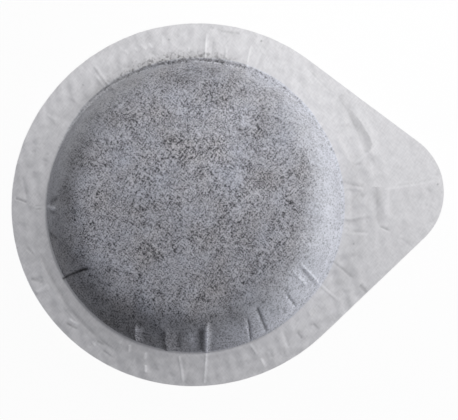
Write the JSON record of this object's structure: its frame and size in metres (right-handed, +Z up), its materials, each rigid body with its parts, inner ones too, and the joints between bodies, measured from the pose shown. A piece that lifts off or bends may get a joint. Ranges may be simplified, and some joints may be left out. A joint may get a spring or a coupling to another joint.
{
  "type": "coffee pod",
  "caption": "Round single-serve coffee pod of filter paper, with a pressed coffee puck sealed inside, a flat sealed rim and a pull tab on one side.",
  "frame": {"origin": "on the puck's axis, at the middle of the flat base that the pod rests on", "axes": "+X along the pull tab, +Z up through the puck"},
  "size_m": [0.0645, 0.055, 0.0107],
  "materials": {
    "filter_paper": "matte, fibrous",
    "ground_coffee": "matte, granular"
  },
  "bodies": {
    "root": {"upper_filter_paper": "filter_paper", "lower_filter_paper": "filter_paper", "coffee_puck": "ground_coffee"}
  },
  "joints": []
}
